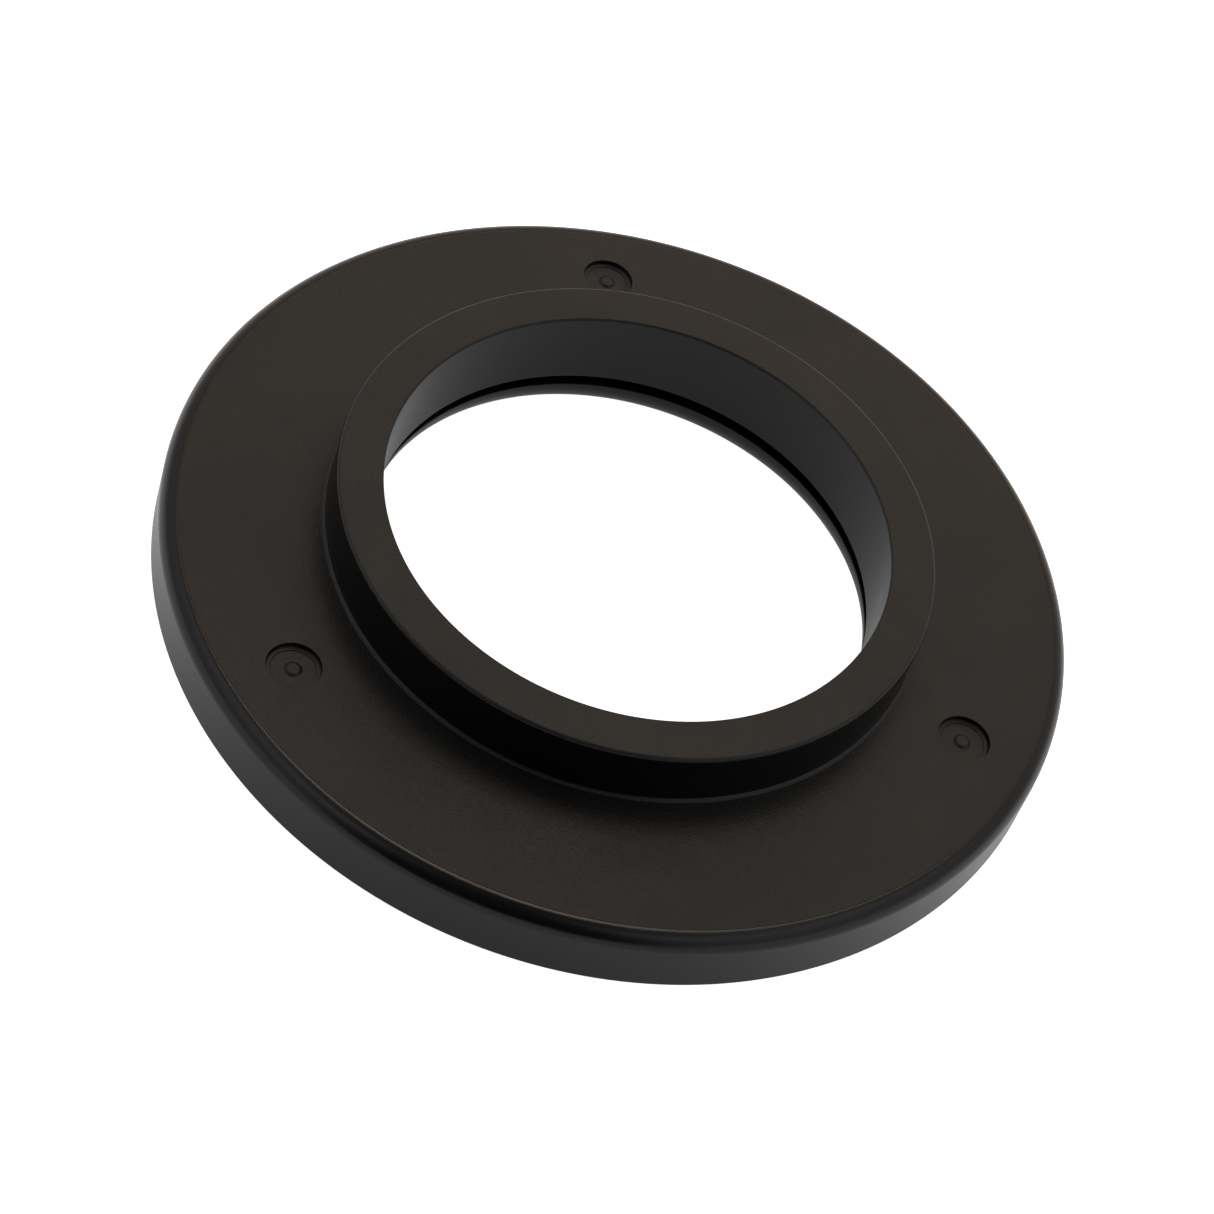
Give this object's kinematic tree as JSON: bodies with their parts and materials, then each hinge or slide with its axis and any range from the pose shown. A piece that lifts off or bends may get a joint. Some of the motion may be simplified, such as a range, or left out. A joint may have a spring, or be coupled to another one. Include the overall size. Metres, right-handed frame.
{
  "type": "strut mount bearing",
  "caption": "Round black strut mount thrust bearing: a plate with a hub sleeve and skirt turns on a carrier ring over caged steel balls.",
  "frame": {"origin": "on the turning axis, at the flat spring seat face under the carrier ring", "axes": "+Z along the turning axis towards the hub; +Y towards the first gate recess of the cap"},
  "size_m": [0.1052, 0.1052, 0.016],
  "materials": {
    "black_plastic": "fine matte black moulded nylon, glossier on the skirt and bore",
    "race_steel": "pressed bearing steel with a ground raceway",
    "ball_steel": "polished bearing steel",
    "cage_nylon": "natural ivory nylon",
    "seal_rubber": "black nitrile rubber"
  },
  "bodies": {
    "carrier": {"lower_ring": "black_plastic", "lower_race": "race_steel", "inner_seal": "seal_rubber", "outer_seal": "seal_rubber"},
    "cap": {"upper_cap": "black_plastic", "upper_race": "race_steel"},
    "cage": {"ball_cage": "cage_nylon"},
    "ball_01": {"ball_01": "ball_steel"},
    "ball_02": {"ball_02": "ball_steel"},
    "ball_03": {"ball_03": "ball_steel"},
    "ball_04": {"ball_04": "ball_steel"},
    "ball_05": {"ball_05": "ball_steel"},
    "ball_06": {"ball_06": "ball_steel"},
    "ball_07": {"ball_07": "ball_steel"},
    "ball_08": {"ball_08": "ball_steel"},
    "ball_09": {"ball_09": "ball_steel"},
    "ball_10": {"ball_10": "ball_steel"},
    "ball_11": {"ball_11": "ball_steel"},
    "ball_12": {"ball_12": "ball_steel"},
    "ball_13": {"ball_13": "ball_steel"},
    "ball_14": {"ball_14": "ball_steel"},
    "ball_15": {"ball_15": "ball_steel"},
    "ball_16": {"ball_16": "ball_steel"},
    "ball_17": {"ball_17": "ball_steel"},
    "ball_18": {"ball_18": "ball_steel"},
    "ball_19": {"ball_19": "ball_steel"},
    "ball_20": {"ball_20": "ball_steel"},
    "ball_21": {"ball_21": "ball_steel"},
    "ball_22": {"ball_22": "ball_steel"},
    "ball_23": {"ball_23": "ball_steel"},
    "ball_24": {"ball_24": "ball_steel"},
    "ball_25": {"ball_25": "ball_steel"},
    "ball_26": {"ball_26": "ball_steel"},
    "ball_27": {"ball_27": "ball_steel"},
    "ball_28": {"ball_28": "ball_steel"},
    "ball_29": {"ball_29": "ball_steel"},
    "ball_30": {"ball_30": "ball_steel"},
    "ball_31": {"ball_31": "ball_steel"},
    "ball_32": {"ball_32": "ball_steel"},
    "ball_33": {"ball_33": "ball_steel"},
    "ball_34": {"ball_34": "ball_steel"},
    "ball_35": {"ball_35": "ball_steel"},
    "ball_36": {"ball_36": "ball_steel"}
  },
  "joints": [
    {"name": "cap_turn", "type": "hinge", "parent": "carrier", "child": "cap", "pos_m": [0, 0, 0.009], "axis": [0, 0, 1], "continuous": true},
    {"name": "cage_turn", "type": "hinge", "parent": "carrier", "child": "cage", "pos_m": [0, 0, 0.00445], "axis": [0, 0, 1], "continuous": true},
    {"name": "ball_01_roll", "type": "hinge", "parent": "cage", "child": "ball_01", "pos_m": [0.042, 0, 0.00445], "axis": [1, 0, 0], "continuous": true},
    {"name": "ball_02_roll", "type": "hinge", "parent": "cage", "child": "ball_02", "pos_m": [0.04136, 0.00729, 0.00445], "axis": [0.9848, 0.1736, 0], "continuous": true},
    {"name": "ball_03_roll", "type": "hinge", "parent": "cage", "child": "ball_03", "pos_m": [0.03947, 0.01436, 0.00445], "axis": [0.9397, 0.342, 0], "continuous": true},
    {"name": "ball_04_roll", "type": "hinge", "parent": "cage", "child": "ball_04", "pos_m": [0.03637, 0.021, 0.00445], "axis": [0.866, 0.5, 0], "continuous": true},
    {"name": "ball_05_roll", "type": "hinge", "parent": "cage", "child": "ball_05", "pos_m": [0.03217, 0.027, 0.00445], "axis": [0.766, 0.6428, 0], "continuous": true},
    {"name": "ball_06_roll", "type": "hinge", "parent": "cage", "child": "ball_06", "pos_m": [0.027, 0.03217, 0.00445], "axis": [0.6428, 0.766, 0], "continuous": true},
    {"name": "ball_07_roll", "type": "hinge", "parent": "cage", "child": "ball_07", "pos_m": [0.021, 0.03637, 0.00445], "axis": [0.5, 0.866, 0], "continuous": true},
    {"name": "ball_08_roll", "type": "hinge", "parent": "cage", "child": "ball_08", "pos_m": [0.01436, 0.03947, 0.00445], "axis": [0.342, 0.9397, 0], "continuous": true},
    {"name": "ball_09_roll", "type": "hinge", "parent": "cage", "child": "ball_09", "pos_m": [0.00729, 0.04136, 0.00445], "axis": [0.1736, 0.9848, 0], "continuous": true},
    {"name": "ball_10_roll", "type": "hinge", "parent": "cage", "child": "ball_10", "pos_m": [0, 0.042, 0.00445], "axis": [0, 1, 0], "continuous": true},
    {"name": "ball_11_roll", "type": "hinge", "parent": "cage", "child": "ball_11", "pos_m": [-0.00729, 0.04136, 0.00445], "axis": [-0.1736, 0.9848, 0], "continuous": true},
    {"name": "ball_12_roll", "type": "hinge", "parent": "cage", "child": "ball_12", "pos_m": [-0.01436, 0.03947, 0.00445], "axis": [-0.342, 0.9397, 0], "continuous": true},
    {"name": "ball_13_roll", "type": "hinge", "parent": "cage", "child": "ball_13", "pos_m": [-0.021, 0.03637, 0.00445], "axis": [-0.5, 0.866, 0], "continuous": true},
    {"name": "ball_14_roll", "type": "hinge", "parent": "cage", "child": "ball_14", "pos_m": [-0.027, 0.03217, 0.00445], "axis": [-0.6428, 0.766, 0], "continuous": true},
    {"name": "ball_15_roll", "type": "hinge", "parent": "cage", "child": "ball_15", "pos_m": [-0.03217, 0.027, 0.00445], "axis": [-0.766, 0.6428, 0], "continuous": true},
    {"name": "ball_16_roll", "type": "hinge", "parent": "cage", "child": "ball_16", "pos_m": [-0.03637, 0.021, 0.00445], "axis": [-0.866, 0.5, 0], "continuous": true},
    {"name": "ball_17_roll", "type": "hinge", "parent": "cage", "child": "ball_17", "pos_m": [-0.03947, 0.01436, 0.00445], "axis": [-0.9397, 0.342, 0], "continuous": true},
    {"name": "ball_18_roll", "type": "hinge", "parent": "cage", "child": "ball_18", "pos_m": [-0.04136, 0.00729, 0.00445], "axis": [-0.9848, 0.1736, 0], "continuous": true},
    {"name": "ball_19_roll", "type": "hinge", "parent": "cage", "child": "ball_19", "pos_m": [-0.042, 0, 0.00445], "axis": [-1, 0, 0], "continuous": true},
    {"name": "ball_20_roll", "type": "hinge", "parent": "cage", "child": "ball_20", "pos_m": [-0.04136, -0.00729, 0.00445], "axis": [-0.9848, -0.1736, 0], "continuous": true},
    {"name": "ball_21_roll", "type": "hinge", "parent": "cage", "child": "ball_21", "pos_m": [-0.03947, -0.01436, 0.00445], "axis": [-0.9397, -0.342, 0], "continuous": true},
    {"name": "ball_22_roll", "type": "hinge", "parent": "cage", "child": "ball_22", "pos_m": [-0.03637, -0.021, 0.00445], "axis": [-0.866, -0.5, 0], "continuous": true},
    {"name": "ball_23_roll", "type": "hinge", "parent": "cage", "child": "ball_23", "pos_m": [-0.03217, -0.027, 0.00445], "axis": [-0.766, -0.6428, 0], "continuous": true},
    {"name": "ball_24_roll", "type": "hinge", "parent": "cage", "child": "ball_24", "pos_m": [-0.027, -0.03217, 0.00445], "axis": [-0.6428, -0.766, 0], "continuous": true},
    {"name": "ball_25_roll", "type": "hinge", "parent": "cage", "child": "ball_25", "pos_m": [-0.021, -0.03637, 0.00445], "axis": [-0.5, -0.866, 0], "continuous": true},
    {"name": "ball_26_roll", "type": "hinge", "parent": "cage", "child": "ball_26", "pos_m": [-0.01436, -0.03947, 0.00445], "axis": [-0.342, -0.9397, 0], "continuous": true},
    {"name": "ball_27_roll", "type": "hinge", "parent": "cage", "child": "ball_27", "pos_m": [-0.00729, -0.04136, 0.00445], "axis": [-0.1736, -0.9848, 0], "continuous": true},
    {"name": "ball_28_roll", "type": "hinge", "parent": "cage", "child": "ball_28", "pos_m": [0, -0.042, 0.00445], "axis": [0, -1, 0], "continuous": true},
    {"name": "ball_29_roll", "type": "hinge", "parent": "cage", "child": "ball_29", "pos_m": [0.00729, -0.04136, 0.00445], "axis": [0.1736, -0.9848, 0], "continuous": true},
    {"name": "ball_30_roll", "type": "hinge", "parent": "cage", "child": "ball_30", "pos_m": [0.01436, -0.03947, 0.00445], "axis": [0.342, -0.9397, 0], "continuous": true},
    {"name": "ball_31_roll", "type": "hinge", "parent": "cage", "child": "ball_31", "pos_m": [0.021, -0.03637, 0.00445], "axis": [0.5, -0.866, 0], "continuous": true},
    {"name": "ball_32_roll", "type": "hinge", "parent": "cage", "child": "ball_32", "pos_m": [0.027, -0.03217, 0.00445], "axis": [0.6428, -0.766, 0], "continuous": true},
    {"name": "ball_33_roll", "type": "hinge", "parent": "cage", "child": "ball_33", "pos_m": [0.03217, -0.027, 0.00445], "axis": [0.766, -0.6428, 0], "continuous": true},
    {"name": "ball_34_roll", "type": "hinge", "parent": "cage", "child": "ball_34", "pos_m": [0.03637, -0.021, 0.00445], "axis": [0.866, -0.5, 0], "continuous": true},
    {"name": "ball_35_roll", "type": "hinge", "parent": "cage", "child": "ball_35", "pos_m": [0.03947, -0.01436, 0.00445], "axis": [0.9397, -0.342, 0], "continuous": true},
    {"name": "ball_36_roll", "type": "hinge", "parent": "cage", "child": "ball_36", "pos_m": [0.04136, -0.00729, 0.00445], "axis": [0.9848, -0.1736, 0], "continuous": true}
  ],
  "couplings": [
    {"joint": "cage_turn", "follows": "cap_turn", "ratio": 0.5},
    {"joint": "ball_01_roll", "follows": "cap_turn", "ratio": -12},
    {"joint": "ball_02_roll", "follows": "cap_turn", "ratio": -12},
    {"joint": "ball_03_roll", "follows": "cap_turn", "ratio": -12},
    {"joint": "ball_04_roll", "follows": "cap_turn", "ratio": -12},
    {"joint": "ball_05_roll", "follows": "cap_turn", "ratio": -12},
    {"joint": "ball_06_roll", "follows": "cap_turn", "ratio": -12},
    {"joint": "ball_07_roll", "follows": "cap_turn", "ratio": -12},
    {"joint": "ball_08_roll", "follows": "cap_turn", "ratio": -12},
    {"joint": "ball_09_roll", "follows": "cap_turn", "ratio": -12},
    {"joint": "ball_10_roll", "follows": "cap_turn", "ratio": -12},
    {"joint": "ball_11_roll", "follows": "cap_turn", "ratio": -12},
    {"joint": "ball_12_roll", "follows": "cap_turn", "ratio": -12},
    {"joint": "ball_13_roll", "follows": "cap_turn", "ratio": -12},
    {"joint": "ball_14_roll", "follows": "cap_turn", "ratio": -12},
    {"joint": "ball_15_roll", "follows": "cap_turn", "ratio": -12},
    {"joint": "ball_16_roll", "follows": "cap_turn", "ratio": -12},
    {"joint": "ball_17_roll", "follows": "cap_turn", "ratio": -12},
    {"joint": "ball_18_roll", "follows": "cap_turn", "ratio": -12},
    {"joint": "ball_19_roll", "follows": "cap_turn", "ratio": -12},
    {"joint": "ball_20_roll", "follows": "cap_turn", "ratio": -12},
    {"joint": "ball_21_roll", "follows": "cap_turn", "ratio": -12},
    {"joint": "ball_22_roll", "follows": "cap_turn", "ratio": -12},
    {"joint": "ball_23_roll", "follows": "cap_turn", "ratio": -12},
    {"joint": "ball_24_roll", "follows": "cap_turn", "ratio": -12},
    {"joint": "ball_25_roll", "follows": "cap_turn", "ratio": -12},
    {"joint": "ball_26_roll", "follows": "cap_turn", "ratio": -12},
    {"joint": "ball_27_roll", "follows": "cap_turn", "ratio": -12},
    {"joint": "ball_28_roll", "follows": "cap_turn", "ratio": -12},
    {"joint": "ball_29_roll", "follows": "cap_turn", "ratio": -12},
    {"joint": "ball_30_roll", "follows": "cap_turn", "ratio": -12},
    {"joint": "ball_31_roll", "follows": "cap_turn", "ratio": -12},
    {"joint": "ball_32_roll", "follows": "cap_turn", "ratio": -12},
    {"joint": "ball_33_roll", "follows": "cap_turn", "ratio": -12},
    {"joint": "ball_34_roll", "follows": "cap_turn", "ratio": -12},
    {"joint": "ball_35_roll", "follows": "cap_turn", "ratio": -12},
    {"joint": "ball_36_roll", "follows": "cap_turn", "ratio": -12}
  ]
}
